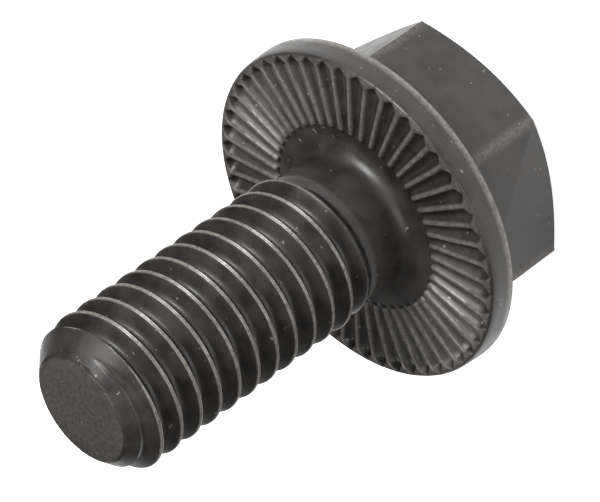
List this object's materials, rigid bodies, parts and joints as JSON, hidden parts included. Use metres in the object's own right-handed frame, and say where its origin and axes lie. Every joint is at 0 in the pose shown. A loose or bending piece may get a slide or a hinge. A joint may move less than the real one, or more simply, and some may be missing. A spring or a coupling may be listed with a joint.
{
  "type": "flange bolt",
  "caption": "Hexagon head bolt with a built-in serrated flange, a coarse metric thread along its short shank and a chamfered tip, in blackened steel.",
  "frame": {"origin": "centre of the flat end of the head, which is the lowest point as the bolt stands on its head", "axes": "+Z along the shank from the head to the tip of the thread; two corners of the hexagon lie on the X axis"},
  "size_m": [0.0178, 0.0178, 0.0254],
  "materials": {
    "black_steel": "blackened, satin, lightly worn"
  },
  "bodies": {
    "root": {"flange_bolt": "black_steel"}
  },
  "joints": []
}
